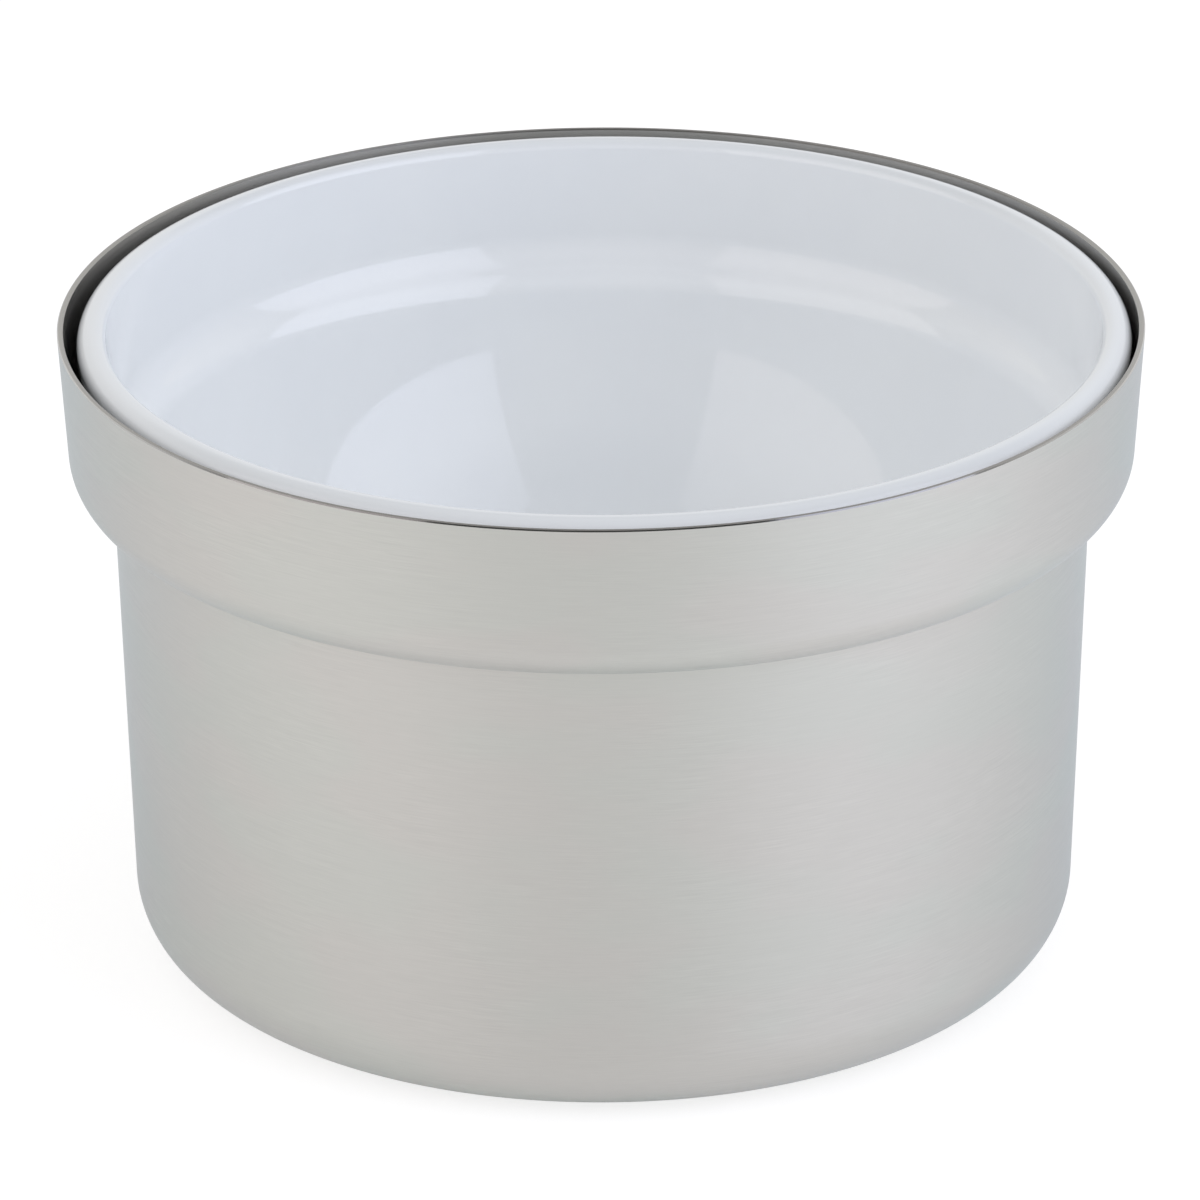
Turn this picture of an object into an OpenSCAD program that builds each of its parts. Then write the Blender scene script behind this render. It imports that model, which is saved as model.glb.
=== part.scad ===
// Soup kettle for a buffet: a steel kettle with a wide stepped collar, and a glazed porcelain bowl
// that drops into it, hangs by its shoulder on the step inside the collar and lifts straight out.
// Lengths are in millimetres and angles in degrees. +Z is up, and the origin is the centre of the
// kettle's flat base. Each piece is one turned outline, so each is written as a half section.

/* [Kettle] */
// Outside diameter across the rim
rim_d = 270; // [240:1:300]
// Height from the base to the rim
kettle_h = 165; // [150:1:190]
// Height of the collar, from the step under it to the rim
collar_h = 41; // [32:0.5:50]
// How far the collar leans in between its rim and its foot, on the radius
collar_lean = 2; // [0:0.1:4]
// Outside radius of the collar's rounded lower edge
collar_edge_r = 9.8; // [8:0.1:12]
// Width of the flat ring between the rounded edge and the crease
ledge_w = 0.5; // [0.4:0.1:3]
// Outside radius of the crease where the step meets the body
crease_r = 0.6; // [0.4:0.1:3]
// How far the body leans in between the crease and its base corner, on the radius
body_lean = 3.2; // [0:0.1:6]
// Outside radius of the rounded base corner
base_corner_r = 18.5; // [8:0.5:30]
// Thickness of the steel sheet
sheet_t = 1.5; // [0.8:0.1:2]
// Size of the small bevel that breaks both edges of the ground rim
rim_bevel = 0.3; // [0.1:0.05:0.35]

/* [Bowl] */
// Thickness of the rounded lip
lip_t = 7.2; // [5:0.1:8]
// Radius of the lip's inner edge; the rest of its thickness is the radius of its outer edge
lip_inner_r = 2.6; // [1.5:0.1:3.2]
// How far the upper wall's outside leans in between the lip and the shoulder, on the radius
upper_lean = 3.5; // [2:0.1:5]
// Outside radius of the shoulder's lower corner
shoulder_corner_r = 4.4; // [3:0.1:6]
// Outside radius of the hollow where the shoulder turns into the well
neck_hollow_r = 2.5; // [1.5:0.1:3]
// Depth of the middle of the shoulder's inside slope below the lip
shoulder_depth = 33; // [30:0.5:36]
// Angle of that slope from upright
shoulder_slope = 41; // [30:1:60]
// Inside radius of the hollow where the upper wall turns into the shoulder
shoulder_hollow_r = 15.5; // [10:0.5:18]
// Inside radius of the shoulder's edge over the deep well
shoulder_edge_r = 13.5; // [8:0.5:16]
// Angle of the well's wall from upright, at its top
well_lean = 12; // [8:0.5:16]
// Thickness of the well's wall
well_t = 4.8; // [4:0.1:5.5]
// Outside diameter of the foot ring
foot_d = 96; // [70:1:120]
// Width of the foot ring
foot_w = 6; // [4:0.5:9]
// How far the foot ring stands below the middle of the well
foot_h = 2; // [1:0.5:4]
// Radius of the bend between the foot ring and the well, on both sides of the ring
foot_bend_r = 2.5; // [1:0.5:4]
// Radius of the foot ring's two lower edges
foot_edge_r = 1.5; // [0.5:0.1:2]

/* [Fits] */
// Gap between the lip and the inside of the rim
rim_gap = 2.5; // [1.5:0.1:4]
// Gap between the shoulder and the step that it sits on
seat_gap = 0.3; // [0.2:0.05:0.5]
// Gap between the top of the well and the kettle's body
jacket_gap = 1.5; // [1.2:0.1:3]
// How far the top of the lip stands above the rim
lip_rise = 0.3; // [0:0.1:2]
// How far the loose bowl lies off centre, towards +X
bowl_shift = 0.8; // [0:0.1:1]

/* [Hidden] */
$fn = 180;
// The furthest that a chord may depart from its arc
arc_error = 0.03;
steel = [0.75, 0.74, 0.72];
porcelain = [0.93, 0.94, 0.96];

// Unit vector at angle a
function dir(a) = [cos(a), sin(a)];

// Points of an arc about centre c from angle a0 to angle a1, ends included
function arc(c, r, a0, a1) =
    let (n = max(2, ceil(abs(a1 - a0) / (2 * acos(1 - arc_error / r)))))
    [for (i = [0:n]) c + r * dir(a0 + (a1 - a0) * i / n)];

// Angle of the outward normal of the wall that touches both the circle of radius r about c and
// the point p. With p a circle's centre, r is the sum or the difference of the two radii.
function wall_angle(p, c, r) = atan2(p.y - c.y, p.x - c.x) - acos(r / norm(p - c));

// Kettle: the centres of its three bends, outside radii first
rim_r = rim_d / 2;
step_z = kettle_h - collar_h;
edge_c = [rim_r - collar_lean - collar_edge_r, step_z + collar_edge_r];
crease_c = [edge_c.x - ledge_w, step_z - crease_r];
body_r = crease_c.x - crease_r;
corner_c = [body_r - body_lean - base_corner_r, base_corner_r];
collar_a = wall_angle([rim_r, kettle_h], edge_c, collar_edge_r);
body_a = wall_angle(crease_c, corner_c, crease_r + base_corner_r);

// The space inside the kettle's outside when that is set in by s. Its edge at the rim is moved out
// by b along the rim and down by as much along the collar's wall, whose direction is rim_up.
rim_up = dir(collar_a + 90);
function rim_edge(s) = [rim_r - s / cos(collar_a), kettle_h];
function kettle_space(s, b) = concat(
    [[0, kettle_h], rim_edge(s) + [b, 0], rim_edge(s) - abs(b) * rim_up],
    arc(edge_c, collar_edge_r - s, collar_a, -90),
    arc(crease_c, crease_r + s, 90, 180 + body_a),
    arc(corner_c, base_corner_r - s, body_a, -90),
    [[0, s]]);

// Bowl: its lip and its shoulder, which sits on the kettle's step
lip_z = kettle_h + lip_rise;
lip_r = rim_r - sheet_t - rim_gap;
lip_outer_r = lip_t - lip_inner_r;
lip_x = lip_r - lip_outer_r;
lip_outer_c = [lip_x, lip_z - lip_outer_r];
lip_inner_c = [lip_x, lip_z - lip_inner_r];
seat_z = step_z + sheet_t + seat_gap;
shoulder_c = [lip_r - upper_lean - shoulder_corner_r, seat_z + shoulder_corner_r];
upper_a = wall_angle(lip_outer_c, shoulder_c, shoulder_corner_r - lip_outer_r);

// Bowl: the well is part of a ball, whose centre is on the axis and whose outside touches the
// hollow of the neck
neck_c = [body_r - sheet_t - jacket_gap + neck_hollow_r, seat_z - neck_hollow_r];
ball_c = [0, neck_c.y + neck_c.x * tan(well_lean)];
well_out_r = neck_c.x / cos(well_lean) - neck_hollow_r;
well_in_r = well_out_r - well_t;

// Bowl: the shoulder's inside is a hollow bend over an edge bend, which meet at the middle of the
// slope. The edge bend touches the well, and the upper wall touches the hollow bend and the lip.
slope_a = 180 - shoulder_slope;
edge_in_z = lip_z - shoulder_depth - shoulder_edge_r * sin(slope_a);
edge_in_a = asin((edge_in_z - ball_c.y) / (well_in_r + shoulder_edge_r));
edge_in_c = ball_c + (well_in_r + shoulder_edge_r) * dir(edge_in_a);
hollow_c = edge_in_c + (shoulder_edge_r + shoulder_hollow_r) * dir(slope_a);
inner_a = wall_angle(lip_inner_c, hollow_c, shoulder_hollow_r + lip_inner_r);

// Bowl: the foot ring, and the two bends between it and the well
foot_z = ball_c.y - well_out_r - foot_h;
foot_r = foot_d / 2;
foot_in_r = foot_r - foot_w;
function foot_bend_a(x) = -acos(x / (well_out_r + foot_bend_r));
bend_out_a = foot_bend_a(foot_r + foot_bend_r);
bend_in_a = foot_bend_a(foot_in_r - foot_bend_r);

// Outside of the bowl from the lip's top to the axis
function bowl_outside() = concat(
    arc(lip_outer_c, lip_outer_r, 90, upper_a),
    arc(shoulder_c, shoulder_corner_r, upper_a, -90),
    arc(neck_c, neck_hollow_r, 90, 180 - well_lean),
    arc(ball_c, well_out_r, -well_lean, bend_out_a),
    arc(ball_c + (well_out_r + foot_bend_r) * dir(bend_out_a), foot_bend_r, 180 + bend_out_a, 180),
    arc([foot_r - foot_edge_r, foot_z + foot_edge_r], foot_edge_r, 0, -90),
    arc([foot_in_r + foot_edge_r, foot_z + foot_edge_r], foot_edge_r, -90, -180),
    arc(ball_c + (well_out_r + foot_bend_r) * dir(bend_in_a), foot_bend_r, 0, 180 + bend_in_a),
    arc(ball_c, well_out_r, bend_in_a, -90));

// Inside of the bowl from the axis to the lip's top
function bowl_inside() = concat(
    arc(ball_c, well_in_r, -90, edge_in_a),
    arc(edge_in_c, shoulder_edge_r, 180 + edge_in_a, slope_a),
    arc(hollow_c, shoulder_hollow_r, slope_a - 180, inner_a),
    arc(lip_inner_c, lip_inner_r, 180 + inner_a, 90));

// Steel kettle: one drawn and spun sheet, with its rim cut level and its edges broken
module kettle() {
    color(steel)
        rotate_extrude()
            difference() {
                polygon(kettle_space(0, -rim_bevel));
                polygon(kettle_space(sheet_t, rim_bevel));
            }
}

// Porcelain bowl: one cast and glazed piece with a foot ring
module bowl() {
    color(porcelain)
        translate([bowl_shift, 0, 0])
            rotate_extrude()
                polygon(concat(bowl_outside(), bowl_inside()));
}

kettle();
bowl();
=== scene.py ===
import math

import bpy
from mathutils import Matrix, Vector


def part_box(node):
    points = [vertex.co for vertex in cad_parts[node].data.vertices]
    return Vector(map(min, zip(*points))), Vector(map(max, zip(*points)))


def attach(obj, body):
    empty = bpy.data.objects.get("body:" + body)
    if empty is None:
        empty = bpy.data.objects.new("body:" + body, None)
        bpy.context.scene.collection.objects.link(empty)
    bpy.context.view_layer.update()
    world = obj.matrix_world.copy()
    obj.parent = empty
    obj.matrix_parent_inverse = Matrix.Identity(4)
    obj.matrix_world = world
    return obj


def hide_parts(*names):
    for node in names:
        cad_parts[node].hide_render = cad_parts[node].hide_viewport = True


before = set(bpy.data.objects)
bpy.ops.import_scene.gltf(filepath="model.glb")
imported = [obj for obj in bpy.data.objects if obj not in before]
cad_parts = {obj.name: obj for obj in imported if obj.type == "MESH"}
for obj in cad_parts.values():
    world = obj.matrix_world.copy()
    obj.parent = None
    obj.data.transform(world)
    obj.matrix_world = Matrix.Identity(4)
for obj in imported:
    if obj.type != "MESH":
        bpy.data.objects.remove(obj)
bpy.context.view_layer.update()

scene = bpy.context.scene

# Camera. A long lens looks down into the bowl from about two metres, a little above the rim.
lens_mm = 270
sensor_mm = 36
look_down = 0.41091
camera_roll = -0.0052
camera_place = (-0.0006, -2.0768, 0.9935)
camera_reach = 50
camera_data = bpy.data.cameras.new("camera")
camera_data.lens = lens_mm
camera_data.sensor_width = sensor_mm
camera_data.clip_end = camera_reach
camera = bpy.data.objects.new("camera", camera_data)
scene.collection.objects.link(camera)
camera.matrix_world = (
    Matrix.Translation(camera_place)
    @ Matrix.Rotation(math.pi / 2 - look_down, 4, "X")
    @ Matrix.Rotation(camera_roll, 4, "Z")
)
scene.camera = camera


# Steel kettle. One sheet of stainless steel, 1.5 mm thick, drawn into a pot and spun to its step
# and wide collar. The outside is brushed round and round to a satin, and the rim is cut level,
# ground flat and has both its edges broken by a small bevel, the outer one buffed bright.
class Socket:
    """One socket of a node tree, with the sums that are done on it. A new tree has none yet."""

    def __init__(self, tree, socket=None):
        self.tree, self.socket = tree, socket

    def node(self, kind, settings=(), values=(), out=0):
        """A new node of a kind, as the socket that it gives. Each value is a number or a link."""
        made = self.tree.nodes.new(kind)
        for name, value in dict(settings).items():
            setattr(made, name, value)
        for name, value in dict(values).items():
            if isinstance(value, Socket):
                value.feed(made, name)
            else:
                made.inputs[name].default_value = value
        return Socket(self.tree, made.outputs[out] if made.outputs else None)

    def feed(self, node, name):
        """Link this socket to an input of a node."""
        self.tree.links.new(self.socket, node.inputs[name])

    def parts(self):
        """The three numbers of a place."""
        return [self.node("ShaderNodeSeparateXYZ", {}, {0: self}, out) for out in range(3)]

    def math(self, operation, *others):
        return self.node("ShaderNodeMath", {"operation": operation}, enumerate([self, *others]))

    def reflected(self, operation, other):
        return self.node("ShaderNodeMath", {"operation": operation}, {0: other, 1: self})

    def __add__(self, other):
        return self.math("ADD", other)

    def __mul__(self, other):
        return self.math("MULTIPLY", other)

    def __sub__(self, other):
        return self.math("SUBTRACT", other)

    def __truediv__(self, other):
        return self.math("DIVIDE", other)

    __radd__ = __add__
    __rmul__ = __mul__

    def __rsub__(self, other):
        return self.reflected("SUBTRACT", other)

    def __rtruediv__(self, other):
        return self.reflected("DIVIDE", other)

    def between(self, low, high):
        """0 where the value is under low, 1 where it is over high, and smooth in between."""
        ranged = {"From Min": low, "From Max": high, "Value": self}
        return self.node("ShaderNodeMapRange", {"interpolation_type": "SMOOTHSTEP"}, ranged)

    def mix(self, blend, share, first, second):
        """Two colours in one. A Mix node of colours takes them at 6 and 7, and gives them at 2."""
        settings = {"data_type": "RGBA", "blend_type": blend}
        return self.node("ShaderNodeMix", settings, {0: share, 6: first, 7: second}, out=2)

    def pick(self, first, second):
        """The first colour where the value is 0, and the second where it is 1."""
        return self.mix("MIX", self, first, second)

    def tinted(self, colour):
        """This colour multiplied by another."""
        return self.mix("MULTIPLY", 1.0, self, colour)


def finish(name, **surface):
    """A new material with a Principled shader, its plain values set, and its places on hand."""
    made = bpy.data.materials.new(name)
    made.use_nodes = True
    shader = made.node_tree.nodes["Principled BSDF"]
    for socket, value in surface.items():
        shader.inputs[socket.replace("_", " ")].default_value = value
    return made, shader, Socket(made.node_tree).node("ShaderNodeTexCoord", out="Object")


def grey(level):
    """A plain grey, 0 for black and 1 for white."""
    return level, level, level, 1.0


def off(centre, radius, angle):
    """The point of the half section at a radius and an angle from a centre."""
    return centre[0] + radius * math.cos(angle), centre[1] + radius * math.sin(angle)


def arc(centre, radius, start, end, step=math.radians(2.5)):
    """Points of an arc in the half section, from one angle to another, both ends included."""
    steps = max(3, math.ceil(abs(end - start) / step))
    return [off(centre, radius, start + (end - start) * i / steps) for i in range(steps + 1)]


def wall_angle(point, centre, radius):
    """Angle of the normal of the wall through the point that touches the circle."""
    dx, dz = point[0] - centre[0], point[1] - centre[1]
    return math.atan2(dz, dx) - math.acos(radius / math.hypot(dx, dz))


def turning_tree():
    """A tree that turns a half section round the axis, as on a lathe."""
    tree = bpy.data.node_groups.new("turned_piece", "GeometryNodeTree")
    face = tree.interface
    face.new_socket("Geometry", in_out="OUTPUT", socket_type="NodeSocketGeometry")
    face.new_socket("Half section", in_out="INPUT", socket_type="NodeSocketGeometry")
    sizes = {}
    for name, kind in (
        ("Turning radius", "NodeSocketFloat"),
        ("Steps round", "NodeSocketInt"),
        ("Off centre", "NodeSocketFloat"),
        ("Finish", "NodeSocketMaterial"),
    ):
        sizes[name] = face.new_socket(name, in_out="INPUT", socket_type=kind).identifier

    new = Socket(tree).node
    given = {name: new("NodeGroupInput", out=name) for name in ("Half section", *sizes)}
    section = new("GeometryNodeMeshToCurve", {}, {"Mesh": given["Half section"]})
    circle = {"Resolution": given["Steps round"], "Radius": given["Turning radius"]}
    path = new("GeometryNodeCurvePrimitiveCircle", {}, circle)
    turned = new("GeometryNodeCurveToMesh", {}, {"Curve": path, "Profile Curve": section})
    merged = new("GeometryNodeMergeByDistance", {}, {"Geometry": turned, "Distance": 1e-6})
    place = new("ShaderNodeCombineXYZ", {}, {"X": given["Off centre"]})
    moved = new("GeometryNodeTransform", {}, {"Geometry": merged, "Translation": place})
    real = new("GeometryNodeRealizeInstances", {}, {"Geometry": moved})
    dressed = {"Geometry": real, "Material": given["Finish"]}
    new("NodeGroupOutput", {}, {"Geometry": new("GeometryNodeSetMaterial", {}, dressed)})
    return tree, sizes


lathe, lathe_sizes = turning_tree()
turning_radius = 0.1
steps_round = 360
sharp_edge = math.radians(35)


def turned_piece(name, half_section, surface, off_centre=0.0):
    """A half section turned into a plain mesh. It runs up the inside, from axis to axis."""
    mesh = bpy.data.meshes.new(name + "_section")
    points = [(r - turning_radius, -z, 0.0) for r, z in half_section]
    mesh.from_pydata(points, [(i, i + 1) for i in range(len(points) - 1)], [])
    section = bpy.data.objects.new(name + "_section", mesh)
    scene.collection.objects.link(section)
    turn = section.modifiers.new("turn", "NODES")
    turn.node_group = lathe
    for size, value in (
        ("Turning radius", turning_radius),
        ("Steps round", steps_round),
        ("Off centre", off_centre),
        ("Finish", surface),
    ):
        turn[lathe_sizes[size]] = value
    graph = bpy.context.evaluated_depsgraph_get()
    turned = bpy.data.meshes.new_from_object(section.evaluated_get(graph))
    turned.name = name
    piece = bpy.data.objects.new(name, turned)
    scene.collection.objects.link(piece)
    bpy.data.objects.remove(section)
    turned.shade_smooth()
    turned.set_sharp_from_angle(angle=sharp_edge)
    return piece


mm = 0.001
rim_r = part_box("kettle")[1].x
kettle_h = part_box("kettle")[1].z
collar_h, collar_lean, body_lean = 41 * mm, 2 * mm, 3.2 * mm
edge_r, ledge_w, crease_r, corner_r = 9.8 * mm, 0.5 * mm, 0.6 * mm, 18.5 * mm
sheet_t, rim_bevel = 1.5 * mm, 0.3 * mm
step_z = kettle_h - collar_h
edge_c = (rim_r - collar_lean - edge_r, step_z + edge_r)
crease_c = (edge_c[0] - ledge_w, step_z - crease_r)
body_r = crease_c[0] - crease_r
corner_c = (body_r - body_lean - corner_r, corner_r)
collar_a = wall_angle((rim_r, kettle_h), edge_c, edge_r)
body_a = wall_angle(crease_c, corner_c, crease_r + corner_r)
down = -math.pi / 2
coarse = math.radians(8)


def kettle_surface(inset, bevel):
    """The kettle's surface at a depth in the sheet, from the top of the rim to the axis."""
    x = rim_r - inset / math.cos(collar_a)
    return [
        (x - bevel, kettle_h),
        (x + abs(bevel) * math.sin(collar_a), kettle_h - abs(bevel) * math.cos(collar_a)),
        *arc(edge_c, edge_r - inset, collar_a, down),
        *arc(crease_c, crease_r + inset, math.pi / 2, math.pi + body_a, coarse),
        *arc(corner_c, corner_r - inset, body_a, down),
        (0.0, inset),
    ]


def round_the_axis(place, turns, along):
    """Places for a pattern that runs round the axis: it is drawn out round the piece, and fine
    along the section, on walls and floors alike. turns is how many streaks lie one after another
    on a radian, and along how many lie side by side on a metre."""
    never_zero = 1e-8
    x, y, z = place.parts()
    radius = (x * x + y * y + never_zero).math("POWER", 0.5)
    spread = {0: x / radius * turns, 1: y / radius * turns, 2: (z + radius) * along}
    return place.node("ShaderNodeCombineXYZ", {}, spread)


def noise(places, scale=1.0, detail=2.0):
    """Smooth noise about 0.5."""
    values = {"Vector": places, "Scale": scale, "Detail": detail, "Roughness": 0.5}
    return places.node("ShaderNodeTexNoise", {}, values)


# The outside: fine hairlines of a brushing belt, in soft patches where it bore harder, and warmer
# or greener by a trace.
steel, shader, place = finish(
    "brushed_steel", Metallic=1.0, Anisotropic=0.55, Anisotropic_Rotation=0.25,
    Specular_Tint=(0.80, 0.88, 0.97, 1.0),
)
long_lines = noise(round_the_axis(place, turns=9.0, along=2600.0))
short_lines = noise(round_the_axis(place, turns=22.0, along=5200.0))
patches = noise(round_the_axis(place, turns=3.0, along=45.0), detail=3.0)
tone = noise(round_the_axis(place, turns=2.0, along=30.0), scale=1.3, detail=1.0)
hairlines = long_lines * 0.55 + short_lines * 0.45
pressed = patches - 0.5
mark = (hairlines - 0.5) * (patches.between(0.35, 0.75) * 0.8 + 0.5)
warm_steel, green_steel = (0.620, 0.607, 0.572, 1.0), (0.610, 0.612, 0.573, 1.0)
metal = tone.between(0.4, 0.6).pick(warm_steel, green_steel)
lit = (mark * 0.28 + pressed * 0.05).between(-0.2, 0.2)
metal.tinted(lit.pick(grey(0.88), grey(1.12))).feed(shader, "Base Color")
(mark * 0.10 + pressed * 0.06 + 0.5).feed(shader, "Roughness")
grooves = {"Strength": 0.12, "Distance": 0.02 * mm, "Height": mark}
place.node("ShaderNodeBump", {}, grooves).feed(shader, "Normal")

# The inside keeps the smooth skin of the rolled sheet, with a few faint rings from the spinning.
# Its steel is coloured darker than the outside's, which is painted shade for the dim gap round the
# bowl.
skin_with_painted_shade, shader, place = finish(
    "spun_steel_inside_painted_shade", Metallic=1.0, Anisotropic=0.9, Anisotropic_Rotation=0.25
)
rings = noise(round_the_axis(place, turns=1.5, along=900.0))
# Painted shade: both colours are darker than the outside's steel.
rings.pick((0.45, 0.438, 0.42, 1.0), (0.54, 0.53, 0.513, 1.0)).feed(shader, "Base Color")
(rings * 0.12 + 0.18).feed(shader, "Roughness")

# The rim's top and inner bevel are ground dull, round and round, and the outer bevel is buffed.
ground, shader, place = finish(
    "ground_rim", Metallic=1.0, Anisotropic=0.7, Anisotropic_Rotation=0.25
)
scratches = noise(place, scale=4200.0, detail=3.0)
scratches.pick((0.38, 0.37, 0.35, 1.0), (0.48, 0.47, 0.445, 1.0)).feed(shader, "Base Color")
(scratches * 0.2 + 0.35).feed(shader, "Roughness")
buffed, shader, place = finish("buffed_bevel", Metallic=1.0)
ripple = noise(round_the_axis(place, turns=40.0, along=300.0))
ripple.pick((0.47, 0.46, 0.445, 1.0), (0.55, 0.54, 0.525, 1.0)).feed(shader, "Base Color")
(ripple * 0.08 + 0.04).feed(shader, "Roughness")

inner_surface = kettle_surface(sheet_t, -rim_bevel)[::-1]
kettle = turned_piece("steel_kettle", inner_surface + kettle_surface(0.0, rim_bevel), steel)
for surface in (skin_with_painted_shade, ground, buffed):
    kettle.data.materials.append(surface)
inside, rim_top, bright_bevel = 1, 2, 3
rim_top_z = kettle_h - 0.01 * mm
bevel_z = kettle_h - 1.01 * rim_bevel
bevel_rise = 0.3
facing_in = 0.02
for face in kettle.data.polygons:
    outwards = Vector((face.center.x, face.center.y, 0.0)).normalized()
    lean = face.normal.dot(outwards)
    if face.center.z > rim_top_z:
        face.material_index = rim_top
    elif face.center.z > bevel_z and face.normal.z > bevel_rise:
        face.material_index = bright_bevel if lean > 0.0 else rim_top
    elif lean < -facing_in or face.normal.z > facing_in:
        face.material_index = inside
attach(kettle, "kettle")
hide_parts("kettle")

# Porcelain bowl. It is cast in one piece with its lip, its shoulder and its foot ring, and fired on
# that ring, which is the one place without glaze. It lies loose in the kettle, a little to the
# right, and its well is part of a ball.
bowl_low, bowl_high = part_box("bowl")
off_centre = (bowl_low.x + bowl_high.x) / 2
lip_edge, lip_top = (bowl_high.x - bowl_low.x) / 2, bowl_high.z
lip_out_r, lip_in_r = 4.6 * mm, 2.6 * mm
lip_out_c = (lip_edge - lip_out_r, lip_top - lip_out_r)
lip_in_c = (lip_edge - lip_out_r, lip_top - lip_in_r)
upper_lean, shoulder_r, neck_r = 3.5 * mm, 4.4 * mm, 2.5 * mm
seat_gap, jacket_gap = 0.3 * mm, 1.5 * mm
seat_z = step_z + sheet_t + seat_gap
shoulder_c = (lip_edge - upper_lean - shoulder_r, seat_z + shoulder_r)
upper_a = wall_angle(lip_out_c, shoulder_c, shoulder_r - lip_out_r)

# The well's ball touches the hollow of the neck. Inside, a hollow bend over an edge bend makes the
# shoulder's slope, and they meet at its middle.
well_lean, well_t = math.radians(12), 4.8 * mm
neck_c = (body_r - sheet_t - jacket_gap + neck_r, seat_z - neck_r)
ball_c = (0.0, neck_c[1] + neck_c[0] * math.tan(well_lean))
well_out_r = neck_c[0] / math.cos(well_lean) - neck_r
well_in_r = well_out_r - well_t
edge_in_r, hollow_r, slope, shoulder_depth = 13.5 * mm, 15.5 * mm, math.radians(41), 33 * mm
edge_in_z = lip_top - shoulder_depth - edge_in_r * math.sin(slope)
edge_in_a = math.asin((edge_in_z - ball_c[1]) / (well_in_r + edge_in_r))
edge_in_c = off(ball_c, well_in_r + edge_in_r, edge_in_a)
hollow_c = off(edge_in_c, edge_in_r + hollow_r, math.pi - slope)
inner_a = wall_angle(lip_in_c, hollow_c, hollow_r + lip_in_r)

foot_z = bowl_low.z
foot_r, foot_in_r, foot_edge_r, foot_bend_r = 48 * mm, 42 * mm, 1.5 * mm, 2.5 * mm
bend_reach = well_out_r + foot_bend_r
bend_out_a = -math.acos((foot_r + foot_bend_r) / bend_reach)
bend_in_a = -math.acos((foot_in_r - foot_bend_r) / bend_reach)
bowl_section = [
    *arc(ball_c, well_in_r, down, edge_in_a),
    *arc(edge_in_c, edge_in_r, math.pi + edge_in_a, math.pi - slope),
    *arc(hollow_c, hollow_r, -slope, inner_a),
    *arc(lip_in_c, lip_in_r, math.pi + inner_a, math.pi / 2),
    *arc(lip_out_c, lip_out_r, math.pi / 2, upper_a),
    *arc(shoulder_c, shoulder_r, upper_a, down),
    *arc(neck_c, neck_r, math.pi / 2, math.pi - well_lean, coarse),
    *arc(ball_c, well_out_r, -well_lean, bend_out_a),
    *arc(off(ball_c, bend_reach, bend_out_a), foot_bend_r, math.pi + bend_out_a, math.pi, coarse),
    *arc((foot_r - foot_edge_r, foot_z + foot_edge_r), foot_edge_r, 0.0, down, coarse),
    *arc((foot_in_r + foot_edge_r, foot_z + foot_edge_r), foot_edge_r, down, -math.pi, coarse),
    *arc(off(ball_c, bend_reach, bend_in_a), foot_bend_r, 0.0, math.pi + bend_in_a, coarse),
    *arc(ball_c, well_out_r, bend_in_a, down),
]

# The glaze pools a little whiter in patches, and the crown of the lip is painted greyer as painted
# shade.
# It has the faint orange-peel skin and the turning rings of a jiggered bowl.
# The foot's sole is bare biscuit.
glaze, shader, place = finish("white_glaze", IOR=1.6)
height = place.parts()[2]
pooled = noise(place, scale=28.0, detail=3.0).between(0.3, 0.7)
white = pooled.pick((0.803, 0.830, 0.850, 1.0), (0.818, 0.844, 0.860, 1.0))
# Painted shade: the top of the lip, where it faces up, is coloured a greyer white.
painted_shade_crown = height.between(lip_top - 2.2 * mm, lip_top - 0.4 * mm)
white = painted_shade_crown.pick(white, (0.712, 0.738, 0.753, 1.0))
bare = 1.0 - height.between(foot_z + 0.2 * mm, foot_z + 0.6 * mm)
grain = noise(place, scale=2600.0, detail=4.0)
biscuit = grain.pick((0.70, 0.67, 0.61, 1.0), (0.82, 0.79, 0.73, 1.0))
bare.pick(white, biscuit).feed(shader, "Base Color")
gloss = noise(place, scale=90.0) * 0.03 + 0.04
biscuit_roughness = 0.75
(gloss * (1.0 - bare) + bare * biscuit_roughness).feed(shader, "Roughness")
rings = noise(round_the_axis(place, turns=0.6, along=160.0))
peel = noise(place, scale=420.0) * 0.6 + rings * 0.4
skin_height = peel * (1.0 - bare) + grain * bare * 2.0
peeled = {"Strength": 0.25, "Distance": 0.02 * mm, "Height": skin_height}
place.node("ShaderNodeBump", {}, peeled).feed(shader, "Normal")
bowl = turned_piece("porcelain_bowl", bowl_section, glaze, off_centre)
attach(bowl, "bowl")
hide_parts("bowl")


# Studio. A pale floor in a white room, whose walls are dimmer before the object and whose ceiling
# is dark, with a tall soft light on each side of the camera.
def rays_of(tree):
    """Whether a ray comes from the camera, and whether it does or gloss or glass sends it on."""
    from_camera, glossy, through = (
        Socket(tree).node("ShaderNodeLightPath", out=f"Is {kind} Ray")
        for kind in ("Camera", "Glossy", "Transmission")
    )
    return from_camera, from_camera.math("MAXIMUM", glossy).math("MAXIMUM", through)


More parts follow.
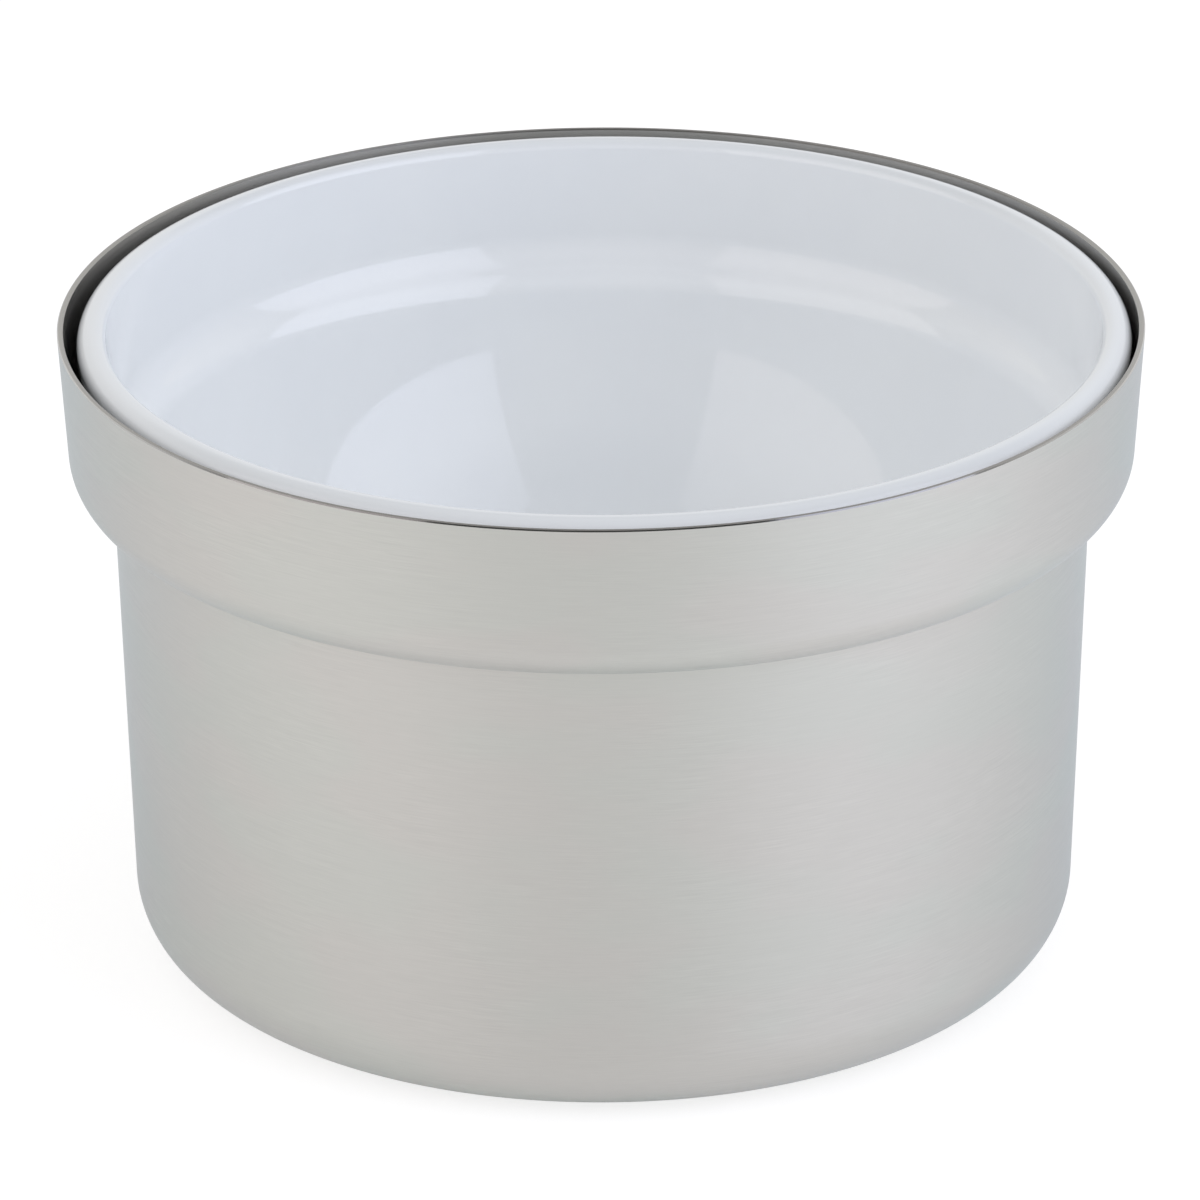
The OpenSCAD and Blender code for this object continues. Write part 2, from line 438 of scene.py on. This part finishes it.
room = bpy.data.worlds.new("room")
scene.world = room
room.use_nodes = True
from_camera, direct = rays_of(room.node_tree)
x, y, z = Socket(room.node_tree).node("ShaderNodeTexCoord", out="Object").parts()
front_wall, ceiling = 0.56, 0.09
front = (y * -1.0).between(-0.75, 0.15)
overhead = z.between(math.sin(math.radians(30)), math.sin(math.radians(50)))
walls = 1.0 - front * (1.0 - front_wall)
unlit = 1.0 - walls * (1.0 - overhead) - overhead * ceiling
seen = 1.0 - unlit * (1.0 - from_camera)
fill_low, fill_high, fill_sides = 0.24, 0.85, 0.3
fill = z.between(0.0, 1.0) * (fill_high - fill_low) + fill_low + x * x * fill_sides
background = room.node_tree.nodes["Background"]
background.inputs["Color"].default_value = grey(1.0)
(direct * seen + (1.0 - direct) * fill).feed(background, "Strength")
room.cycles.sampling_method = "NONE"

floor_mesh = bpy.data.meshes.new("floor")
half, drop = 4.0, 0.1 * mm
corners = [(-half, -half, -drop), (half, -half, -drop), (half, half, -drop), (-half, half, -drop)]
floor_mesh.from_pydata(corners, [], [(0, 1, 2, 3)])
floor = bpy.data.objects.new("floor", floor_mesh)
scene.collection.objects.link(floor)
paper, shader, _ = finish(
    "floor_paper", Roughness=0.9, Specular_IOR_Level=0.0, Emission_Strength=1.0
)
from_camera, direct = rays_of(paper.node_tree)
from_camera.pick(grey(0.83), grey(0.35)).feed(shader, "Base Color")
glow = from_camera.pick(grey(0.18), grey(0.75))
direct.pick(grey(0.0), glow).feed(shader, "Emission Color")
paper.cycles.emission_sampling = "NONE"
floor_mesh.materials.append(paper)


def soft_light(name, side, colour, glow, edge):
    """A tall upright soft box beside the camera. glow is how bright the middle of its face looks,
    1 for white, and edge is how much of that is left at its two upright edges."""
    away, bearing, width, height, low, top_loss = 1.6, math.radians(62), 2.0, 2.4, 0.15, 0.5
    data = bpy.data.lights.new(name, "AREA")
    data.shape, data.size, data.size_y = "RECTANGLE", width, height
    data.energy = glow * math.pi * width * height
    data.color = colour
    data.use_nodes = True
    spot = Socket(data.node_tree).node("ShaderNodeNewGeometry", out="Parametric")
    across, up, _ = spot.parts()
    sideways = across * 2.0 - 1.0
    fall = (1.0 - sideways * sideways * (1.0 - edge)) * (1.0 - up * up * top_loss)
    fall.feed(data.node_tree.nodes["Emission"], "Strength")
    light = bpy.data.objects.new(name, data)
    light.location = (side * away * math.sin(bearing), -away * math.cos(bearing), low + height / 2)
    light.rotation_euler = (math.pi / 2, 0.0, side * bearing)
    light.visible_camera = False
    scene.collection.objects.link(light)


soft_light("left_light", side=-1, colour=(1.0, 0.935, 0.948), glow=0.865, edge=0.9)
soft_light("right_light", side=1, colour=(0.797, 0.832, 1.0), glow=1.69, edge=0.7)

scene.view_settings.view_transform = "Standard"
